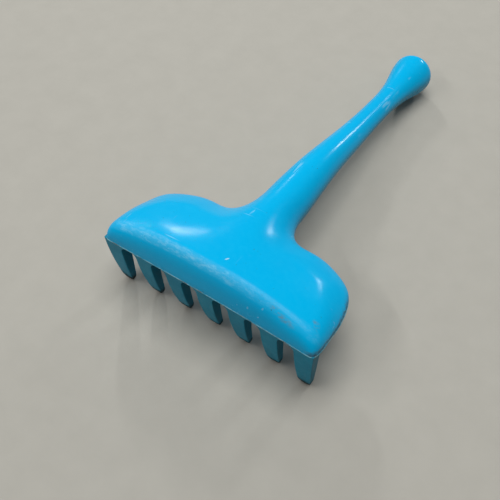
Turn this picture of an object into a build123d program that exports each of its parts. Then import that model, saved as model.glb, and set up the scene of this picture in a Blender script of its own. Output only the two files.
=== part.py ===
from build123d import *
import os
from math import asin, cos, degrees, radians, sin, tan

# Toy sand rake: a domed hood, seven claw-shaped tines below its front edge, and a round handle
# that ends in a bulb. It stands on the tips of its tines and on the bulb.
# X runs along the row of tines, +Y towards the end of the handle, +Z up; the ground is Z = 0.

# Overall
tine_count = 7
pitch = 20.0                # from tine to tine
rim_height = 41.0           # height of the hood's front rim above the ground
overall_length = 251.0      # from the hood's front to the end of the bulb

# Hood, in its own frame: x across, y back from the front edge, z up from the rim's plane
front_corner = (68.0, 0.0)  # where the front wall's and the end wall's lines cross
shoulder = (68.4, 43.4)     # where the end wall's and the back wall's lines cross
waist = (17.0, 51.6)        # where the back wall's and the neck's lines cross
shoulder_radius = 26.0
waist_radius = 22.0
crown = 20.4                # height of the hood's top above its rim
skirt_height = 10.5         # the straight part of the front wall
skirt_lean = 1.2            # how far back the skirt's top stands
roll_depth = 12.5           # from the front edge to the start of the top
edge_round = 12.0           # rounding round the hood's top edge
crown_slope = (1.0, 0.04)   # the top's direction just behind the roll
neck_slope = (1.0, -0.08)   # the top's direction at the neck

# The hollow under the hood
wall = 3.0
root_wall = 9.0             # the front wall is thick, to carry the tines
hollow_back = 47.0          # the neck behind this is solid
hollow_waist = 16.0         # half the straight stretch of the hollow's back
hollow_height = 13.6
hollow_corner = 9.0
hollow_round = 7.0          # rounding round the hollow's roof

# Handle: distance from the hood's front edge, rise above the rim's plane, radius
keel = [(51.0, 10.9, 10.4), (61.0, 5.4, 12.5)]      # under the hood, ahead of the neck
neck = (74.0, 2.0, 13.8)
shaft = [
    (92.0, 3.6, 12.7),
    (118.0, 4.2, 11.0),
    (146.0, 2.6, 9.3),
    (178.0, 0.4, 7.9),
    (200.0, -0.6, 7.9),
    (216.0, -0.8, 9.2),
    (229.0, -0.9, 12.0),
]
bulb = (241.0, -1.0, 13.9)
bulb_end_radius = 12.6
bulb_cap = 9.0              # rounding of the bulb's end
bulb_swell = 0.24           # the bulb reaches this much lower than its widest section does

# Tines
tine_width = 10.2           # just below the arches between the tines
tip_width = 7.6
tip_corner = 3.0            # rounding of the tip, seen from the front
tip_edge = 1.2              # rounding of the tip, seen from the side
tip_thickness = 3.8
root_front = 0.8            # the tines' faces stand this far behind the skirt
root_back = 7.8
end_tip_front = 4.6         # how far back the first and the last tines' tips stand
tip_row_bow = 3.6           # how much further back the middle tine's tip stands
arch_web = 0.8              # left between the top of a slot and the rim
end_tine_trim = 1.8         # the end tines' outer sides stand this far inside the hood's ends
end_tine_round = 6.0        # rounding of the end tines' outer front edges

# The rim's plane falls towards the handle, so that the bulb touches the ground.
tilt = degrees(asin((rim_height + bulb[1] - bulb[2] - bulb_swell) / bulb[0]))
front_y = -overall_length / 2
rim_origin = Vector(0, front_y, rim_height)
back_way = Vector(0, cos(radians(tilt)), -sin(radians(tilt)))
up_way = Vector(0, sin(radians(tilt)), cos(radians(tilt)))
rim_plane = Plane(origin=rim_origin, x_dir=(1, 0, 0), z_dir=up_way)
side_plane = Plane(origin=rim_origin, x_dir=back_way, z_dir=(1, 0, 0))
reach = 1.1 * shoulder[0]   # past the hood's ends
end_flat = bulb_end_radius - bulb_cap
end_distance = (overall_length - (bulb[1] + end_flat) * sin(radians(tilt))) / cos(radians(tilt))


def is_top_edge(edge, back):
    """True for the edges round a dome's top and up its front corners, left open at its back."""
    start, middle, end = (rim_plane.to_local_coords(edge @ t) for t in (0, 0.5, 1))
    low = max(start.Z, middle.Z, end.Z) < 0.01
    at_back = min(start.Y, end.Y) > back - 0.01
    upright = abs((end - start).Z) > 3 * abs((end - start).Y) and start.Y > roll_depth
    across = abs((end - start).X) > pitch and abs((end - start).Y) < 0.01
    return not (low or at_back or upright or across)


def dome(corner, bends, radii, half_back, back, top, top_back, rounding):
    """A domed block on the rim's plane. Its outline runs from the front corner over the bends to a
    straight back, and its side profile from a leaning skirt over a roll to the sloping top."""
    with BuildPart() as block:
        with BuildSketch(rim_plane):
            with BuildLine():
                half = FilletPolyline(corner, *bends, (half_back, back), radius=radii)
                mirror(half, about=Plane.YZ)
                Line(corner, (-corner[0], corner[1]))
                Line((half_back, back), (-half_back, back))
            make_face()
        extrude(amount=2 * crown)
        with BuildSketch(side_plane.offset(-reach)):
            with BuildLine():
                skirt = Line((corner[1], 0), (corner[1] + skirt_lean, skirt_height))
                roll = Spline(
                    skirt @ 1,
                    (corner[1] + roll_depth, top),
                    tangents=[skirt % 1, crown_slope],
                    tangent_scalars=[1.4, 1.2],
                )
                ridge = Spline(roll @ 1, (back, top_back), tangents=[crown_slope, neck_slope])
                Polyline(ridge @ 1, (back, 0), skirt @ 0)
            make_face()
        extrude(amount=2 * reach, mode=Mode.INTERSECT)
        fillet([edge for edge in block.edges() if is_top_edge(edge, back)], radius=rounding)
    return block.part


os.makedirs("parts", exist_ok=True)

with BuildPart() as hollow:
    with BuildSketch(rim_plane):
        with BuildLine():
            hollow_half = FilletPolyline(
                (0, root_wall),
                (front_corner[0] - wall, root_wall),
                (shoulder[0] - wall, shoulder[1] - wall),
                (hollow_waist, hollow_back),
                (0, hollow_back),
                radius=[hollow_corner, shoulder_radius - wall, waist_radius],
            )
            mirror(hollow_half, about=Plane.YZ)
        make_face()
    extrude(amount=hollow_height)
    fillet(hollow.faces().sort_by(Axis.Z)[-1].edges(), radius=hollow_round)

with BuildPart() as hood:
    add(dome(front_corner, [shoulder, waist], [shoulder_radius, waist_radius], neck[2], neck[0],
             crown, neck[1] + neck[2], edge_round))
    add(hollow.part, mode=Mode.SUBTRACT)
hood.part.label = "hood"
export_step(hood.part, "parts/hood.step")

with BuildPart() as handle:
    for distance, rise, radius in [*keel, neck, *shaft, bulb, (end_distance, bulb[1], bulb_end_radius)]:
        centre = rim_origin + back_way * distance + up_way * rise
        with BuildSketch(Plane(origin=centre, x_dir=(1, 0, 0), z_dir=back_way)):
            Circle(radius)
    loft()
    fillet(handle.faces().sort_by(Axis.Y)[-1].edges(), radius=bulb_cap)
    with BuildSketch(rim_plane):
        with Locations((0, neck[0] / 2)):
            Rectangle(2 * reach, neck[0])
    extrude(amount=2 * crown, mode=Mode.SUBTRACT)
handle.part.label = "handle"
export_step(handle.part, "parts/handle.step")


def rim_z(y):
    """Height of the rim's plane above the ground, y behind the hood's front edge."""
    return rim_height - y * tan(radians(tilt))


arch_radius = (pitch - tine_width) / 2
slot_top = rim_z((root_front + root_back) / 2) - arch_web
arch_z = slot_top - arch_radius
end_half = front_corner[0] - end_tine_trim - pitch * (tine_count - 1) / 2

for index in range(tine_count):
    x = (index - (tine_count - 1) / 2) * pitch
    off_centre = abs(x) / (pitch * (tine_count - 1) / 2)
    tip_front = end_tip_front + tip_row_bow * (1 - off_centre**2)
    tip_back = tip_front + tip_thickness
    with BuildPart() as tine:
        with BuildSketch(Plane(origin=(x - pitch / 2, front_y, 0), x_dir=(0, 1, 0), z_dir=(1, 0, 0))):
            with BuildLine():
                root = Line((root_back, rim_z(root_back)), (root_front, rim_z(root_front)))
                face = TangentArc(root @ 1, (tip_front, 0), tangent=(0, -1))
                foot = Line(face @ 1, (tip_back, 0))
                TangentArc(root @ 0, foot @ 1, tangent=(0, -1))
            make_face()
        extrude(amount=pitch)
        with BuildSketch(Plane.XZ.offset(pitch - front_y)):
            with BuildLine():
                for side in (-1, 1):
                    outer = side * x > pitch * (tine_count - 1.5) / 2
                    if outer:
                        leg_top = (x + side * end_half, rim_height)
                        Line((x, rim_height), leg_top)
                    else:
                        edge_x = x + side * pitch / 2
                        leg_top = (x + side * tine_width / 2, arch_z)
                        Polyline((x, rim_height), (edge_x, rim_height), (edge_x, slot_top))
                        CenterArc((edge_x, arch_z), arch_radius, 90, side * 90)
                    FilletPolyline(leg_top, (x + side * tip_width / 2, 0), (x, 0), radius=tip_corner)
            make_face()
        extrude(amount=-2 * pitch, mode=Mode.INTERSECT)
        if off_centre == 1:
            side = 1 if x > 0 else -1
            inner_x, outer_x = x - side * pitch / 2, x + side * end_half
            near_y, far_y = front_y + root_front, front_y + pitch
            with BuildSketch():
                with BuildLine():
                    FilletPolyline((inner_x, near_y), (outer_x, near_y), (outer_x, far_y),
                                   radius=end_tine_round)
                    Polyline((outer_x, far_y), (inner_x, far_y), (inner_x, near_y))
                make_face()
            extrude(amount=rim_height, mode=Mode.INTERSECT)
        foot_edges = tine.faces().sort_by(Axis.Z)[0].edges().filter_by(Axis.X)
        fillet(foot_edges, radius=tip_edge)
    tine.part.label = f"tine_{index + 1}"
    export_step(tine.part, f"parts/tine_{index + 1}.step")
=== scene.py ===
import math

import bmesh
import bpy
import numpy as np
from mathutils import Matrix, Vector


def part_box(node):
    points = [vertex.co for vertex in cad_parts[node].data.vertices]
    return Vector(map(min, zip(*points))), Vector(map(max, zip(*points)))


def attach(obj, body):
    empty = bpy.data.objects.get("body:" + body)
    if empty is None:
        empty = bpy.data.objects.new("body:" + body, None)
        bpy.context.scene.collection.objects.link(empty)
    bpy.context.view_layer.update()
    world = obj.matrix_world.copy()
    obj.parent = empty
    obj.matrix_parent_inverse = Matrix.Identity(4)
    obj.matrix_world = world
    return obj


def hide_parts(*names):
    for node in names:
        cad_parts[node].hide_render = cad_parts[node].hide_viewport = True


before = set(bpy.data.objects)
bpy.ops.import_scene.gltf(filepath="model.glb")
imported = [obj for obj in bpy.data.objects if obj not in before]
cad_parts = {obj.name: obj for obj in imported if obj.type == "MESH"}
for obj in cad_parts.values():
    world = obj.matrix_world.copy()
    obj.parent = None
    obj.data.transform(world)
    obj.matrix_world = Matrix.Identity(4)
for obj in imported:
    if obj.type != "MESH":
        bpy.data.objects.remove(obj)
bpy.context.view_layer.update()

# A toy sand rake in one blue plastic moulding. Shapes are worked out in millimetres; mm makes them metres.
# The hood has its own frame: x across, y back from its front edge, z up from the plane of its rim, which
# tilts so that the bulb at the handle's end rests on the ground.
mm = 0.001
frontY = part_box("hood")[0][1] / mm
rim = {
    "height": 41.0,
    "tilt": 6.13,             # degrees
    "bow": 1.1,               # how much further back its middle stands than its ends
    "set": 0.35,              # how far back its ends stand
    "half": 66.0,
}
tiltAngle = math.radians(rim["tilt"])
backWay = np.array([0.0, math.cos(tiltAngle), -math.sin(tiltAngle)])
upWay = np.array([0.0, math.sin(tiltAngle), math.cos(tiltAngle)])
rimOrigin = np.array([0.0, frontY, rim["height"]])


def toWorld(x, y, z):
    # origin, plus x across, plus y along the rim's plane, plus z square to it
    x, y, z = np.broadcast_arrays(x, y, z)
    return rimOrigin + x[..., None] * np.array([1.0, 0, 0]) + y[..., None] * backWay + z[..., None] * upWay


def smoothStep(low, high, t):
    # 3 s^2 - 2 s^3, where s goes from 0 at low to 1 at high
    s = np.clip((t - low) / (high - low), 0, 1)
    return s * s * (3 - 2 * s)


def splineThrough(knots, values, t):
    # natural cubic spline: its second derivatives at the knots solve a tridiagonal system
    knots, values = np.asarray(knots, float), np.asarray(values, float)
    n, h = len(knots), np.diff(knots)
    system, right = np.eye(n), np.zeros(n)
    k = np.arange(1, n - 1)
    system[k, k - 1], system[k, k], system[k, k + 1] = h[:-1], 2 * (h[:-1] + h[1:]), h[1:]
    right[k] = 6 * (np.diff(values)[1:] / h[1:] - np.diff(values)[:-1] / h[:-1])
    bend = np.linalg.solve(system, right)
    t = np.clip(t, knots[0], knots[-1])
    k = np.clip(np.searchsorted(knots, t) - 1, 0, n - 2)
    a, b = knots[k + 1] - t, t - knots[k]
    return ((bend[k] * a**3 + bend[k + 1] * b**3) / (6 * h[k]) + (values[k] / h[k] - bend[k] * h[k] / 6) * a
            + (values[k + 1] / h[k] - bend[k + 1] * h[k] / 6) * b)


def bowAt(x):
    # the rim's front edge stands back by a parabola, most in the middle
    return rim["set"] + rim["bow"] * (1 - (x / rim["half"])**2)


def addPiece(name, vertices, faces, sharpAngle=40):
    # vertices in mm and a list of faces become an object, its doubles merged and its faces turned outwards
    mesh = bpy.data.meshes.new(name)
    mesh.from_pydata((vertices * mm).tolist(), [], faces)
    work = bmesh.new()
    work.from_mesh(mesh)
    bmesh.ops.remove_doubles(work, verts=work.verts, dist=2e-6)
    bmesh.ops.dissolve_degenerate(work, edges=work.edges, dist=1e-6)
    bmesh.ops.recalc_face_normals(work, faces=work.faces)
    work.to_mesh(mesh)
    work.free()
    mesh.shade_smooth()
    mesh.set_sharp_from_angle(angle=math.radians(sharpAngle))
    piece = bpy.data.objects.new(name, mesh)
    bpy.context.scene.collection.objects.link(piece)
    return piece


def gridFaces(points, capStart, capEnd):
    # quads between the rows of a grid closed round its columns, and a fan to a middle point at a capped end
    rows, cols = points.shape[:2]
    r, c = np.meshgrid(np.arange(rows - 1), np.arange(cols), indexing="ij")
    onward = (c + 1) % cols
    quads = np.stack([r * cols + c, r * cols + onward, (r + 1) * cols + onward, (r + 1) * cols + c], -1)
    faces = quads.reshape(-1, 4).tolist()
    vertices = points.reshape(-1, 3)
    around = np.arange(cols)
    for wanted, row in ((capStart, 0), (capEnd, rows - 1)):
        if wanted:
            pole = np.full(cols, len(vertices))
            vertices = np.vstack([vertices, points[row].mean(0)])
            faces += np.stack([row * cols + around, row * cols + (around + 1) % cols, pole], -1).tolist()
    return vertices, faces


# Body: hood and handle
hood = {
    # the plan outline: half width and distance back, closed behind the neck
    "plan": [(65.4, 0.0), (66.3, 4.0), (66.6, 12.0), (66.3, 24.0), (64.5, 34.6), (60.3, 44.2), (49.4, 51.8),
             (36.0, 55.6), (20.0, 54.6), (0.0, 53.0)],
    "crown": 19.8,            # height of the top above the rim
    "backCrown": 13.5,        # the same beside the neck
    "camber": 0.42,           # the share of its height that the dome loses at camberHalf from the middle
    "camberHalf": 60.0,
    "camberPower": 2.4,
    "rollDepth": 9.0,         # how far back the front roll reaches
    "rollPower": 2.9,
    "slopePower": 2.0,
    "blendSpan": (4.0, 36.0),                 # where the roll's shape turns into the slope's
    "backSpan": (10.0, 50.0),                 # where the height falls from the crown to the back crown
    # distance back, and how far in from the plan's edge the sides keep rising
    "slopeDepth": [(0.0, 10.0), (20.0, 13.0), (42.0, 23.0), (100.0, 23.0)],
    # distance back, and height of the top's middle line
    "crest": [(9.0, 19.8), (20.0, 19.9), (34.0, 19.2), (48.0, 17.5), (62.0, 15.9), (76.0, 15.1),
              (92.0, 15.35)],
    "bowEnd": 40.0,           # the rim's bow has died out this far back
    "fillet": 17.0,           # how widely the neck melts into the hood
    "fieldScale": 18.0,       # turns the dome's power norm into millimetres
    "topCorner": 3.5,         # power that rounds the front corners at the top
    "rimCorner": 9.5,         # and at the rim
    "neckFront": 46.0,        # the neck fades away ahead of this
    "neckFade": 0.4,
    "reach": (70.0, 22.0),    # the search rays' ends, sideways and up, over the hood
    "neckReach": (20.0, 20.0),                # and over the handle
    "reachSpan": (54.0, 86.0),
    "searchEnd": 1.6,
    "halvings": 24,
    "frontRows": 34,
    "rowSpans": [(38.0, 40), (60.0, 90), (92.0, 40)],   # where each span of rows ends, and its rows
    "quarterColumns": 56,
    "underColumns": 84,
}

handle = {
    # distance back, rise of the centre line, radius
    "stations": [
        (0.0, -2.4, 12.8), (40.0, -0.4, 12.9), (60.0, 0.8, 13.0), (74.0, 1.6, 13.1), (84.0, 2.3, 12.85),
        (92.0, 3.0, 12.35), (105.0, 3.8, 11.5), (118.0, 3.9, 10.55), (132.0, 3.1, 9.65), (146.0, 2.0, 8.9),
        (162.0, 1.0, 8.15), (178.0, 0.4, 7.6), (190.0, 0.1, 7.45), (200.0, -0.3, 7.55), (209.0, -0.7, 8.1),
        (217.0, -0.9, 9.05), (224.0, -1.0, 10.35), (231.0, -1.1, 11.85), (237.0, -1.15, 12.95),
        (242.0, -1.2, 13.5),
    ],
    "end": 250.6,
    "endPower": 2.6,
    "rows": 110,
    "endRows": 20,
    "keelStart": 49.0,        # the underside turns from the hood's flat rim into the round handle
    "keelEnd": 77.0,
}

hollow = {
    "front": 9.0,
    "back": 47.0,
    "halfWidth": 61.0,
    "backHalf": 9.0,          # half width that is left at its back
    "wall": 2.5,              # thinnest side wall
    "height": 12.4,
    "frontRound": 8.0,        # over this length its roof rises
    "frontPower": 2.5,
    "planPower": 4.0,
    "backPower": 6.0,
    "power": 3.0,             # squareness of its cross-section
}


def shaftAt(y):
    # the centre line's rise and the radius are splines along the length
    knots = np.array(handle["stations"])
    return splineThrough(knots[:, 0], knots[:, 1], y), splineThrough(knots[:, 0], knots[:, 2], y)


planGrid = {"width": 92, "front": -2, "back": 104}   # a 1 mm grid over half the hood and neck


def planDistance():
    # how far each point of the grid lies inside the plan outline, a spline by its chord length that is
    # carried on ahead of the front edge
    ahead = (hood["plan"][0][0] - 0.9, -30.0)
    knots = np.array([ahead] + hood["plan"])
    chord = np.concatenate([[0], np.cumsum(np.hypot(*np.diff(knots, axis=0).T))])
    t = np.linspace(0, chord[-1], 700)
    line = np.stack([splineThrough(chord, knots[:, 0], t), splineThrough(chord, knots[:, 1], t)], -1)
    gridX, gridY = np.meshgrid(np.arange(float(planGrid["width"])),
                               np.arange(planGrid["front"], float(planGrid["back"])), indexing="ij")
    gap = np.stack([gridX, gridY], -1).reshape(-1, 1, 2) - line
    nearest = np.argmin((gap**2).sum(-1), 1)
    gap = gap[np.arange(len(gap)), nearest]
    along = np.gradient(line, axis=0)[nearest]
    inside = np.where(along[:, 0] * gap[:, 1] - along[:, 1] * gap[:, 0] > 0, 1.0, -1.0)
    return (np.hypot(gap[:, 0], gap[:, 1]) * inside).reshape(gridX.shape)


def lookUp(table, x, y):
    # bilinear reading of the 1 mm grid
    x = np.clip(x, 0, table.shape[0] - 1.001)
    y = np.clip(y - planGrid["front"], 0, table.shape[1] - 1.001)
    i, j = x.astype(int), y.astype(int)
    a, b = x - i, y - j
    return (table[i, j] * (1 - a) * (1 - b) + table[i + 1, j] * a * (1 - b) + table[i, j + 1] * (1 - a) * b
            + table[i + 1, j + 1] * a * b)


def hoodSections(ys):
    # the quarter sections of dome and neck as one: along rays from the base point, bisection finds where a
    # field is zero. The dome's field is a power norm of (nearness to the plan's edge, height over the
    # cambered crown, nearness to the front), less 1, in millimetres; the neck's is the distance to its axis
    # less its radius; a polynomial smooth minimum joins them. Last, the middle is lifted to the crest line.
    # The search runs from the base point to searchEnd ray lengths.
    h = hood
    table = planDistance()
    depths = np.array(h["slopeDepth"])
    depth = splineThrough(depths[:, 0], depths[:, 1], ys)[:, None]
    dome = (h["crown"] + (h["backCrown"] - h["crown"]) * smoothStep(*h["backSpan"], ys))[:, None]
    power = (h["rollPower"] + (h["slopePower"] - h["rollPower"]) * smoothStep(*h["blendSpan"], ys))[:, None]
    rise, radius = (v[:, None] for v in shaftAt(ys))
    keel = smoothStep(handle["keelStart"], handle["keelEnd"], ys)[:, None]
    base = keel * rise
    front = np.clip(1 - ys / h["rollDepth"], 0, None)[:, None]
    a = np.linspace(0, math.pi / 2, h["quarterColumns"] + 1)[None]
    toNeck = smoothStep(*h["reachSpan"], ys)[:, None]
    rayX, rayZ = (wide + (narrow - wide) * toNeck for wide, narrow in zip(h["reach"], h["neckReach"]))
    rayX, rayZ = rayX * np.cos(a), rayZ * np.sin(a)
    fade = h["neckFade"] * np.clip(h["neckFront"] - ys, 0, None)[:, None]
    low, high = np.zeros((len(ys), a.size)), np.full((len(ys), a.size), h["searchEnd"])
    for _ in range(h["halvings"]):
        s = (low + high) / 2
        x, z = s * rayX, base + s * rayZ
        edge = np.clip(1 - lookUp(table, x, np.broadcast_to(ys[:, None], x.shape)) / depth, 0, None)
        camber = 1 - h["camber"] * np.clip(x / h["camberHalf"], 0, 1.2)**h["camberPower"]
        tall = np.clip(z / (dome * camber), 0, None)
        corner = h["topCorner"] + (h["rimCorner"] - h["topCorner"]) * (1 - np.clip(tall, 0, 1))**2
        flat = (edge**corner + front**corner)**(power / corner)
        domeField = h["fieldScale"] * ((flat + tall**power)**(1 / power) - 1)
        neckField = np.hypot(x, z - rise) - radius + fade
        near = np.clip(h["fillet"] - np.abs(domeField - neckField), 0, None) / h["fillet"]
        inside = np.minimum(domeField, neckField) - near**2 * h["fillet"] / 4 < 0
        low, high = np.where(inside, s, low), np.where(inside, high, s)
    s = (low + high) / 2
    x, z = s * rayX, base + s * rayZ
    crest = np.array(h["crest"])
    p = h["rollPower"]
    wanted = np.where(ys < h["rollDepth"], h["crown"] * (1 - front[:, 0]**p)**(1 / p),
                      splineThrough(crest[:, 0], crest[:, 1], ys))[:, None]
    lift = (wanted - base) / np.maximum(z[:, -1:] - base, 1e-6)
    z = base + (z - base) * (1 + (lift - 1) * (1 - smoothStep(*h["blendSpan"], x)))
    return x, z


def undersideOf(ys, halves):
    # from the left edge to the right: flat rim, then the hollow, a superellipse across, flat rim again;
    # the keel blends this into the lower half circle of the handle
    n = hood["underColumns"]
    strip = n // 7            # columns on each side that cross the flat rim
    rise, radius = (v[:, None] for v in shaftAt(ys))
    w, y = halves[:, None], ys[:, None]
    v = np.arange(1, n)[None]
    inStrip = np.clip(v / strip, 0, 1) - np.clip((v - (n - strip)) / strip, 0, 1)
    b = np.clip(math.pi * (v - strip) / (n - 2 * strip), 0, math.pi)
    left = np.where(v < n / 2, -1.0, 1.0)
    u = np.clip((y - hollow["front"]) / (hollow["back"] - hollow["front"]), 0, 1)
    planHalf = hollow["halfWidth"] * (1 - u**hollow["planPower"])**(1 / hollow["planPower"])
    wallHalf = np.minimum(np.maximum(planHalf, hollow["backHalf"]), w - hollow["wall"])
    f = np.clip((y - hollow["front"]) / hollow["frontRound"], 0, 1)
    p = hollow["frontPower"]
    roof = hollow["height"] * ((1 - (1 - f)**p) * (1 - u**hollow["backPower"]))**(1 / p)
    across = np.sign(np.cos(b)) * np.abs(np.cos(b))**(2 / hollow["power"])
    middle = (v >= strip) & (v <= n - strip)
    flatX = left * (w + (wallHalf - w) * inStrip)
    hoodX = np.where(middle, -wallHalf * across, flatX)
    hoodZ = np.where(middle, roof * np.sin(b)**(2 / hollow["power"]), 0.0)
    keel = smoothStep(handle["keelStart"], handle["keelEnd"], ys)[:, None]
    turn = math.pi * v / n
    x = (1 - keel) * hoodX - keel * w * np.cos(turn)
    z = (1 - keel) * hoodZ + keel * (rise - radius * np.sin(turn))
    return x, z


def bodyGrid():
    # rows run from the front edge to the bulb; columns go over the top from right to left and back below
    p = hood["rollPower"]
    turn = np.linspace(0, math.pi / 2, hood["frontRows"] + 1)[1:]
    hoodYs = hood["rollDepth"] * (1 - np.cos(turn)**(2 / p))
    for spanEnd, rows in hood["rowSpans"]:
        hoodYs = np.concatenate([hoodYs, np.linspace(hoodYs[-1], spanEnd, rows)[1:]])
    x, z = hoodSections(hoodYs)
    topX = np.concatenate([x, -x[:, -2::-1]], 1)
    topZ = np.concatenate([z, z[:, -2::-1]], 1)
    underX, underZ = undersideOf(hoodYs, x[:, 0])
    x, z = np.concatenate([topX, underX], 1), np.concatenate([topZ, underZ], 1)
    y = hoodYs[:, None] + bowAt(x) * (1 - smoothStep(0, hood["bowEnd"], hoodYs))[:, None]
    # the first rows of the top and of the underside lie along one line, the front edge
    edgeX = np.concatenate([topX[:1], underX[:1]], 1)
    edge = toWorld(edgeX, bowAt(edgeX), 0 * edgeX)
    # handle and bulb: circles about the centre line
    last = handle["stations"][-1]
    gripYs = np.linspace(hoodYs[-1], last[0], handle["rows"])[1:]
    rise, radius = shaftAt(gripYs)
    close = np.linspace(0, math.pi / 2, handle["endRows"] + 1)[1:-1]
    e = handle["endPower"]
    endYs = last[0] + (handle["end"] - last[0]) * np.sin(close)**(2 / e)
    endRadius = last[2] * np.cos(close)**(2 / e)
    ys = np.concatenate([gripYs, endYs])[:, None]
    rise = np.concatenate([rise, np.full(len(endYs), last[1])])[:, None]
    radius = np.concatenate([radius, endRadius])[:, None]
    top = np.linspace(0, math.pi, 2 * hood["quarterColumns"] + 1)
    below = math.pi + math.pi * np.arange(1, hood["underColumns"]) / hood["underColumns"]
    turn = np.concatenate([top, below])[None]
    grip = toWorld(radius * np.cos(turn), ys, rise + radius * np.sin(turn))
    return np.concatenate([edge, toWorld(x, y, z), grip])


bodyPoints = bodyGrid()
bodyPiece = addPiece("body", *gridFaces(bodyPoints, False, True))
print("body", len(bodyPiece.data.polygons), "faces")

# Parting line: a thin flash round the rim's edge, from the back of one side round the front to the other
partingLine = {"radius": 0.32, "flatness": 0.8, "taper": 14.0, "sides": 8, "backRow": 104, "drop": 0.1}


def partingLinePoints():
    # a small ellipse carried along the rim's edge, tapering to nothing at its two ends
    right = bodyPoints[:partingLine["backRow"], 0] - upWay * partingLine["drop"]
    left = bodyPoints[:partingLine["backRow"], 2 * hood["quarterColumns"]] - upWay * partingLine["drop"]
    xs = np.linspace(-1, 1, 161)[1:-1] * right[0, 0]
    front = toWorld(xs, bowAt(xs), 0 * xs - partingLine["drop"])
    path = np.concatenate([left[::-1], front, right])
    keep = np.concatenate([[True], np.linalg.norm(np.diff(path, axis=0), axis=1) > 0.05])
    path = path[keep]
    along = np.gradient(path, axis=0)
    along /= np.linalg.norm(along, axis=1)[:, None]
    out = np.cross(along, upWay)
    length = np.concatenate([[0], np.cumsum(np.linalg.norm(np.diff(path, axis=0), axis=1))])
    fromEnd = np.minimum(length, length[-1] - length)
    size = (partingLine["radius"] * smoothStep(0, partingLine["taper"], fromEnd) + 0.01)[:, None, None]
    turn = np.linspace(0, 2 * math.pi, partingLine["sides"], endpoint=False)[None, :, None]
    sideways = np.cos(turn) * out[:, None] * partingLine["flatness"]
    return path[:, None] + size * (sideways + np.sin(turn) * upWay)


partingPiece = addPiece("parting_line", *gridFaces(partingLinePoints(), True, True), sharpAngle=180)
print("parting line")

# Tines
tine = {
    "count": 7,
    "pitch": 20.0,
    "shift": 0.4,             # the row stands this far to the left of the hood's middle
    "width": 10.3,            # just below the arches
    "tipWidth": 7.8,
    "taperPower": 1.3,
    "rootSet": 0.12,          # the roots stand this far behind the rim's edge
    "rootBack": 7.8,
    "overlap": 0.1,           # they reach this far into the hood
    "frontPower": 2.0,        # how the front bends back on the way down
    "backPower": 1.6,
    "endTipFront": 4.6,
    "rowBow": 3.6,            # how much further back the middle tine's tip stands
    "tipThickness": 3.1,
    "archWeb": 0.8,
    "outerHalf": 6.1,         # the end tines' outer half width at the rim
    "outerPower": 1.2,
    "cornerPower": 22.0,      # crisp corners by the arches
    "tipPower": 5.0,          # and rounder ones at the tips
    "roundPower": 0.6,
    "tipRound": 6.8,
    "tipFlat": 0.2,           # the share of width that is left at the very tip
    "closePower": 0.7,
    "columns": 72,
    "archRows": 16,
    "legRows": 34,
    "tipRows": 22,
}


def tineGrid(index):
    # a rounded box carried down a spine that bends back: its half width follows a quarter circle under the
    # rim and then tapers, its front and back are powers of the depth below the rim, its cross-section is a
    # superellipse, and its tip closes as an ellipse
    t = tine
    middle = (t["count"] - 1) / 2
    offCentre = (index - middle) / middle
    centre = (index - middle) * t["pitch"]
    tipFront = t["endTipFront"] + t["rowBow"] * (1 - offCentre**2)
    rootFront = bowAt(centre) + t["rootSet"]
    slotTop = rim["height"] - t["archWeb"]
    archRadius = (t["pitch"] - t["width"]) / 2
    archZ = slotTop - archRadius
    turn = np.linspace(math.pi / 2, 0, t["archRows"])
    close = np.linspace(0, math.pi / 2, t["tipRows"])[1:]
    z = np.concatenate([[rim["height"] + t["overlap"]], archZ + archRadius * np.sin(turn),
                        np.linspace(archZ, t["tipRound"], t["legRows"])[1:],
                        t["tipRound"] * (1 - np.sin(close))])
    down = np.clip(1 - z / rim["height"], 0, None)
    front = rootFront + (tipFront - rootFront) * down**t["frontPower"]
    back = t["rootBack"] + (tipFront + t["tipThickness"] - t["rootBack"]) * down**t["backPower"]
    fromArch = np.clip((archZ - z) / archZ, 0, 1)
    taper = t["width"] / 2 + (t["tipWidth"] - t["width"]) / 2 * fromArch**t["taperPower"]
    arch = t["pitch"] / 2 - np.sqrt(np.clip(archRadius**2 - (np.minimum(z, slotTop) - archZ)**2, 0, None))
    innerHalf = np.where(z > archZ, arch, taper)
    outerHalf = t["outerHalf"] + (t["tipWidth"] / 2 - t["outerHalf"]) * down**t["outerPower"]
    leftHalf = outerHalf if index == 0 else innerHalf
    rightHalf = outerHalf if index == t["count"] - 1 else innerHalf
    closing = np.sqrt(np.clip(1 - (np.clip(t["tipRound"] - z, 0, None) / t["tipRound"])**2, 0, 1))
    closing = np.maximum(closing, t["tipFlat"])
    a = np.linspace(0, 2 * math.pi, t["columns"], endpoint=False)[None]
    rounding = smoothStep(0, 1, down)**t["roundPower"]
    power = (t["cornerPower"] + (t["tipPower"] - t["cornerPower"]) * rounding)[:, None]
    half = np.where(np.cos(a) > 0, rightHalf[:, None], leftHalf[:, None]) * closing[:, None]
    depth = ((back - front) / 2 * closing**t["closePower"])[:, None]
    x = centre - t["shift"] + half * np.sign(np.cos(a)) * np.abs(np.cos(a))**(2 / power)
    y = frontY + ((front + back) / 2)[:, None] + depth * np.sign(np.sin(a)) * np.abs(np.sin(a))**(2 / power)
    return np.stack([x, y, np.broadcast_to(z[:, None], x.shape)], -1)


tinePieces = []
for number in range(tine["count"]):
    tinePieces.append(addPiece(f"tine_skin_{number + 1}", *gridFaces(tineGrid(number), True, True)))
print("tines")


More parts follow.
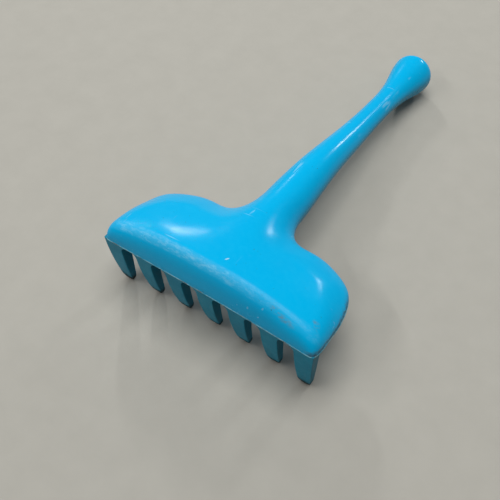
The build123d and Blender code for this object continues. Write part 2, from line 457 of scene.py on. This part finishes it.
# Materials
class Wire:
    # a shader socket that adds its own Math nodes
    def __init__(self, socket):
        self.socket = socket

    def math(self, operation, left, right):
        return makeNode(self.socket.id_data, "ShaderNodeMath", {"operation": operation}, {0: left, 1: right})

    def __add__(self, other):
        return self.math("ADD", self, other)

    def __sub__(self, other):
        return self.math("SUBTRACT", self, other)

    def __rsub__(self, other):
        return self.math("SUBTRACT", other, self)

    def __mul__(self, other):
        return self.math("MULTIPLY", self, other)

    def __pow__(self, other):
        return self.math("POWER", self, other)

    def __abs__(self):
        return self.math("ABSOLUTE", self, 0.0)

    __radd__ = __add__
    __rmul__ = __mul__


def makeNode(tree, kind, settings, inputs, output=0):
    # settings first, then the values or links of the inputs; gives the chosen output as a Wire, or all of
    # them when output is None
    node = tree.nodes.new(kind)
    for key, value in settings.items():
        setattr(node, key, value)
    for key, value in inputs.items():
        if isinstance(value, Wire):
            tree.links.new(value.socket, node.inputs[key])
        else:
            node.inputs[key].default_value = value
    if output is None:
        return [Wire(socket) for socket in node.outputs]
    return Wire(node.outputs[output])


def noiseAt(tree, place, scale, stretch=(1, 1, 1), turn=(0, 0, 0), detail=4, roughness=0.55):
    # fractal noise over the place, in cycles per metre, stretched and turned first
    moved = makeNode(tree, "ShaderNodeMapping", {}, {"Vector": place, "Scale": stretch, "Rotation": turn})
    return makeNode(tree, "ShaderNodeTexNoise", {}, {"Vector": moved, "Scale": scale, "Detail": detail,
                                                     "Roughness": roughness})


def step(tree, value, low, high):
    # 0 below low, 1 above high, smooth between
    return makeNode(tree, "ShaderNodeMapRange", {"interpolation_type": "SMOOTHSTEP"},
                    {"Value": value, "From Min": low, "From Max": high})


def mixColor(tree, factor, first, second):
    # the first colour where the factor is 0, the second where it is 1
    ends = [color if isinstance(color, Wire) else (*color, 1) for color in (first, second)]
    return makeNode(tree, "ShaderNodeMix", {"data_type": "RGBA"}, {0: factor, 6: ends[0], 7: ends[1]}, 2)


def startMaterial(name, fixed):
    # a principled shader with its fixed values, and the place on the piece in metres
    material = bpy.data.materials.new(name)
    material.use_nodes = True
    tree = material.node_tree
    shader = tree.nodes["Principled BSDF"]
    for key, value in fixed.items():
        shader.inputs[key].default_value = value
    return material, tree, shader, makeNode(tree, "ShaderNodeTexCoord", {}, {}, "Object")


def splitUp(tree, vector):
    # x, y and z of a vector
    return makeNode(tree, "ShaderNodeSeparateXYZ", {}, {0: vector}, None)


def plug(tree, shader, **inputs):
    # links values to the shader's inputs, named with underscores for spaces
    for key, value in inputs.items():
        tree.links.new(value.socket, shader.inputs[key.replace("_", " ")])


def bumpFrom(tree, height):
    # height in metres
    return makeNode(tree, "ShaderNodeBump", {}, {"Strength": 0.9, "Distance": 1.0, "Height": height})


def patchAt(tree, place, centre, size, turn):
    # 1 at the centre and 0 beyond an ellipsoid of the given half sizes, all in mm, turned by degrees
    moved = makeNode(tree, "ShaderNodeMapping", {"vector_type": "TEXTURE"},
                     {"Vector": place, "Location": [v * mm for v in centre],
                      "Rotation": (0, 0, math.radians(turn)), "Scale": [v * mm for v in size]})
    length = makeNode(tree, "ShaderNodeVectorMath", {"operation": "LENGTH"}, {0: moved}, "Value")
    return 1 - step(tree, length, 0.35, 1.0)


shell = {
    "specular": 0.10,
    "color": (0.0, 0.46, 0.83),
    "deepColor": (0.0, 0.40, 0.76),
    "paleColor": (0.02, 0.55, 0.85),
    # painted shade for faces that look down
    "undersideShadeColor": (0.03, 0.17, 0.24),
    # whitish scuff wear, made light enough to paint the roll's highlight too
    "scuffAndHighlightColor": (0.30, 0.70, 0.93),
    "hairColor": (0.35, 0.68, 0.88),
    "brownColor": (0.17, 0.17, 0.165),
    "nickColor": (0.55, 0.78, 0.9),
    "speckColor": (0.03, 0.12, 0.17),
    # darker brown for the lowest few millimetres of the rim
    "darkBrownColor": (0.075, 0.058, 0.042),
    "roughness": 0.20,
    "rollLine": (4.6, 18.8),  # distance back and height of the line on the roll that carries scuffs and a painted highlight
    "rollSag": 7.5,           # how much lower the line runs 60 mm from the middle
    # brown rub marks near the right front corner: centre, half sizes, turn in degrees, strength
    "rubs": [((46.5, -121, 60), (11, 2.4, 12), -6, 1.0), ((60.0, -114, 55), (3.2, 4.2, 9), 30, 0.9),
             ((40.0, -119, 60), (4.0, 1.6, 10), 12, 0.6)],
    "nick": ((6.1, -110.2, 60), (1.5, 0.5, 8), 55),
}


def shellMaterial():
    # clear blue with slow patches; whitish scuffs along the front roll, lightened into a painted highlight;
    # fine hair scratches;
    # brown rub marks, specks of dirt and darker brown low on the rim; painted shade where it faces down; bump
    # from slow moulding waves, scuffs and scratches
    material, tree, shader, place = startMaterial(
        "shellPlastic", {"Specular IOR Level": shell["specular"], "IOR": 1.5})
    x, y, z = splitUp(tree, place)
    slow = noiseAt(tree, place, 22, detail=2)
    waves = noiseAt(tree, place, 85, detail=2)
    fine = noiseAt(tree, place, 420, detail=3)
    grain = noiseAt(tree, place, 1500, detail=2, roughness=0.7)
    worn = noiseAt(tree, place, 520, stretch=(0.4, 1, 1), detail=5, roughness=0.75)
    wide = noiseAt(tree, place, 260, detail=5, roughness=0.7)
    # scuffs and a painted highlight in a band about the roll's line, which sags towards the ends, and fewer
    # of them at the right
    roll = toWorld(0.0, *shell["rollLine"]) * mm
    sag = (x * x * (1 / 0.06**2))**1.2 * (shell["rollSag"] * mm)
    rollGap = (y - roll[1])**2 + (z + sag - roll[2])**2 * 0.7
    rollBand = 1 - step(tree, rollGap, 1e-6, 16e-6)
    along = step(tree, x, -0.066, -0.052) * (1 - step(tree, x, 0.004, 0.046) * 0.75)
    scuffAndSheen = rollBand * along * (0.25 + 0.75 * step(tree, worn, 0.44, 0.66))
    # short hair scratches in two directions, in patches
    hairA = noiseAt(tree, place, 300, stretch=(0.05, 1.6, 1), turn=(0, 0, 0.5), detail=1)
    hairB = noiseAt(tree, place, 260, stretch=(1.5, 0.06, 1), turn=(0, 0, 0.25), detail=1)
    patches = step(tree, noiseAt(tree, place, 45, detail=2), 0.5, 0.66)
    hairs = (step(tree, hairA, 0.705, 0.74) + step(tree, hairB, 0.715, 0.75)) * patches
    rubs = [patchAt(tree, place, *patch) * strength for *patch, strength in shell["rubs"]]
    rub = (rubs[0] + rubs[1] + rubs[2]) * step(tree, worn, 0.42, 0.62)
    nick = patchAt(tree, place, *shell["nick"])
    # darker brown low on the rim, thickest along the right end, and specks all over
    fromRim = z + (y - frontY * mm) * math.tan(tiltAngle) - rim["height"] * mm
    low = 1 - step(tree, fromRim + (wide - 0.5) * 0.010, 0.0010, 0.0042)
    rightEnd = step(tree, x, 0.0595, 0.0645)
    lowRimDark = low * (0.12 + 0.88 * rightEnd) * step(tree, wide, 0.30, 0.5) * (1 - step(tree, y, -0.02, 0.0))
    specks = step(tree, noiseAt(tree, place, 900, detail=1), 0.765, 0.80) * 0.8
    # painted shade: darker where the surface faces down, most of all behind the front, and rougher there too
    facing = splitUp(tree, makeNode(tree, "ShaderNodeNewGeometry", {}, {}, "Normal"))
    under = 1 - step(tree, facing[2], -0.15, 0.45)
    behind = 0.22 + 0.78 * step(tree, y, -0.085, -0.065)
    shadeAndMatte = under * (0.45 + 0.35 * step(tree, worn, 0.35, 0.7)) * behind
    color = mixColor(tree, slow, shell["color"], shell["deepColor"])
    for factor, name in ((step(tree, fine, 0.35, 0.75) * 0.10, "paleColor"), (shadeAndMatte, "undersideShadeColor"),
                         (scuffAndSheen * 0.46, "scuffAndHighlightColor"), (hairs * 0.35, "hairColor"), (rub * 0.8, "brownColor"),
                         (nick * 0.8, "nickColor"), (specks, "speckColor"), (lowRimDark * 0.8, "darkBrownColor")):
        color = mixColor(tree, factor, color, shell[name])
    rough = (shell["roughness"] + (slow - 0.5) * 0.10 + (fine - 0.5) * 0.10 + scuffAndSheen * 0.26 + hairs * 0.12
             + rub * 0.25 + shadeAndMatte * 0.15 + lowRimDark * 0.4 + step(tree, worn, 0.5, 0.7) * 0.05)
    height = ((slow - 0.5) * 0.5e-3 + (waves - 0.5) * 0.10e-3 + (grain - 0.5) * 0.012e-3
              - scuffAndSheen * worn * 0.05e-3 - hairs * 0.03e-3 - nick * 0.15e-3 + lowRimDark * 0.08e-3)
    plug(tree, shader, Base_Color=color, Roughness=rough, Normal=bumpFrom(tree, height))
    return material


partingLook = {
    "color": (0.02, 0.30, 0.45),
    "knockedColor": (0.22, 0.50, 0.58),
    "darkBrownColor": (0.12, 0.10, 0.07),
    "roughness": 0.42,
}


def partingMaterial():
    # the flash is scuffed pale where the rim gets knocked, and dirty in places
    material, tree, shader, place = startMaterial("partingEdge", {"Specular IOR Level": 0.3})
    knocked = noiseAt(tree, place, 240, detail=4, roughness=0.7)
    dirt = step(tree, noiseAt(tree, place, 130, detail=4), 0.56, 0.66) * 0.7
    color = mixColor(tree, step(tree, knocked, 0.35, 0.6), partingLook["color"], partingLook["knockedColor"])
    color = mixColor(tree, dirt, color, partingLook["darkBrownColor"])
    plug(tree, shader, Base_Color=color, Roughness=partingLook["roughness"] + knocked * 0.3)
    return material


tineLook = {
    "specular": 0.12,
    # darker than the shell's blue: partly faded plastic, partly painted shade under the hood
    "color": (0.002, 0.21, 0.33),
    "paleColor": (0.010, 0.25, 0.38),
    "streakColor": (0.07, 0.30, 0.38),
    # painted shade for the sides in the gaps
    "gapShadeColor": (0.0, 0.085, 0.125),
    "dustColor": (0.11, 0.12, 0.10),
    "darkBrownColor": (0.034, 0.027, 0.018),
    "roughness": 0.46,
}


def tineMaterial():
    # the same blue, darker and duller: partly faded plastic, partly painted shade for tines that stand under
    # the hood; cloudy patches, long rub streaks down the tine, and brown-black dirt that climbs from the tip
    # with a ragged edge; painted shade darkens the sides, in the gaps
    material, tree, shader, place = startMaterial("tinePlastic", {"Specular IOR Level": tineLook["specular"]})
    z = splitUp(tree, place)[2]
    cloud = noiseAt(tree, place, 110, detail=4)
    streak = noiseAt(tree, place, 420, stretch=(1, 1, 0.12), detail=4, roughness=0.65)
    fine = noiseAt(tree, place, 900, detail=3)
    ragged = noiseAt(tree, place, 330, detail=5, roughness=0.7)
    dirt = 1 - step(tree, z + (ragged - 0.5) * 0.010, 0.0042, 0.0098)
    dust = step(tree, ragged, 0.52, 0.72) * (1 - step(tree, z, 0.004, 0.03)) * 0.55
    facing = splitUp(tree, makeNode(tree, "ShaderNodeNewGeometry", {}, {}, "Normal"))
    # painted shade on the sides that face into the gaps between tines
    gapShade = step(tree, abs(facing[0]), 0.45, 0.9) * (0.7 + 0.3 * cloud)
    color = mixColor(tree, step(tree, cloud, 0.35, 0.7), tineLook["color"], tineLook["paleColor"])
    for factor, name in ((step(tree, streak, 0.55, 0.75) * 0.35, "streakColor"), (gapShade * 0.75, "gapShadeColor"),
                         (dust, "dustColor"), (dirt * 0.92, "darkBrownColor")):
        color = mixColor(tree, factor, color, tineLook[name])
    rough = (tineLook["roughness"] + (fine - 0.5) * 0.16 + dirt * 0.4 + dust * 0.3
             - step(tree, streak, 0.6, 0.8) * 0.08)
    height = ((cloud - 0.5) * 0.14e-3 + (streak - 0.5) * 0.05e-3 + (fine - 0.5) * 0.02e-3
              + dirt * ragged * 0.25e-3)
    plug(tree, shader, Base_Color=color, Roughness=rough, Normal=bumpFrom(tree, height))
    return material


floorLook = {"color": (0.395, 0.384, 0.345), "paleColor": (0.450, 0.438, 0.395), "roughness": 0.85}


def floorMaterial():
    # plain pale grey
    material, tree, shader, place = startMaterial("paleFloor", {"Specular IOR Level": 0.15})
    mottled = noiseAt(tree, place, 60, detail=5, roughness=0.6)
    color = mixColor(tree, mottled, floorLook["color"], floorLook["paleColor"])
    plug(tree, shader, Base_Color=color, Roughness=floorLook["roughness"] + (mottled - 0.5) * 0.1)
    return material


shellSurface, tineSurface, floorSurface = shellMaterial(), tineMaterial(), floorMaterial()
bodyPiece.data.materials.append(shellSurface)
partingPiece.data.materials.append(partingMaterial())
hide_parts("hood", "handle")
for piece in (bodyPiece, partingPiece):
    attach(piece, "root")
for number, piece in enumerate(tinePieces):
    piece.data.materials.append(tineSurface)
    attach(piece, "root")
    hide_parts(f"tine_{number + 1}")
print("materials")

# Floor
floorMesh = bpy.data.meshes.new("floor")
floorMesh.from_pydata([(-3, -3, 0), (3, -3, 0), (3, 3, 0), (-3, 3, 0)], [], [(0, 1, 2, 3)])
floorMesh.materials.append(floorSurface)
floor = bpy.data.objects.new("floor", floorMesh)
bpy.context.scene.collection.objects.link(floor)

# Camera: it looks down on the rake from beyond its right front corner; angles in degrees, place in metres
cameraPlace = {
    "azimuth": 36.82,
    "elevation": 53.52,
    "roll": -2.71,
    "place": (0.13592, -0.26447, 0.33801),
    "lens": 50.32,
    "sensor": 36.0,
}
azimuth, elevation = math.radians(cameraPlace["azimuth"]), math.radians(cameraPlace["elevation"])
backward = Vector((math.sin(azimuth) * math.cos(elevation), -math.cos(azimuth) * math.cos(elevation),
                   math.sin(elevation)))
cameraData = bpy.data.cameras.new("camera")
cameraData.lens = cameraPlace["lens"]
cameraData.sensor_width = cameraPlace["sensor"]
camera = bpy.data.objects.new("camera", cameraData)
camera.rotation_mode = "QUATERNION"
camera.location = cameraPlace["place"]
facingWay = backward.to_track_quat("Z", "Y").to_matrix()
rolled = Matrix.Rotation(math.radians(cameraPlace["roll"]), 3, "Z")
camera.rotation_quaternion = (facingWay @ rolled).to_quaternion()
bpy.context.scene.collection.objects.link(camera)
bpy.context.scene.camera = camera


# Lights: direction towards the light, distance, size in metres, power in watts, colour
lights = {
    "skyPanel": ((0.0, 0.06, 1.0), 1.9, (1.3, 1.3), 27.0, (1.0, 0.99, 0.97)),
    "windowLight": ((-0.84, 0.42, 0.45), 1.7, (0.45, 0.05), 1.0, (1.0, 0.985, 0.96)),
    "frontLight": ((-0.40, -0.52, 0.76), 1.2, (0.60, 0.035), 2.6, (1, 1, 1)),
    "backLight": ((0.12, 0.93, 0.36), 1.2, (0.12, 0.04), 1.8, (0.97, 0.99, 1.0)),
    "handleLight": ((-0.62, 0.60, 0.50), 1.2, (0.05, 0.14), 2.4, (1, 1, 1)),
}
lightTarget = Vector((0, -0.04, 0.03))
worldLook = {"color": (0.96, 0.98, 1.0, 1.0), "strength": 0.17}
for name, (direction, distance, size, watts, color) in lights.items():
    data = bpy.data.lights.new(name, "AREA")
    data.shape = "RECTANGLE"
    data.size, data.size_y = size
    data.energy, data.color = watts, color
    light = bpy.data.objects.new(name, data)
    toLight = Vector(direction).normalized()
    light.location = lightTarget + toLight * distance
    light.rotation_mode = "QUATERNION"
    light.rotation_quaternion = toLight.to_track_quat("Z", "Y")
    bpy.context.scene.collection.objects.link(light)
world = bpy.data.worlds.new("world")
world.use_nodes = True
sky = world.node_tree.nodes["Background"]
sky.inputs["Color"].default_value = worldLook["color"]
sky.inputs["Strength"].default_value = worldLook["strength"]
bpy.context.scene.world = world
bpy.context.scene.view_settings.view_transform = "Standard"
print("stage")
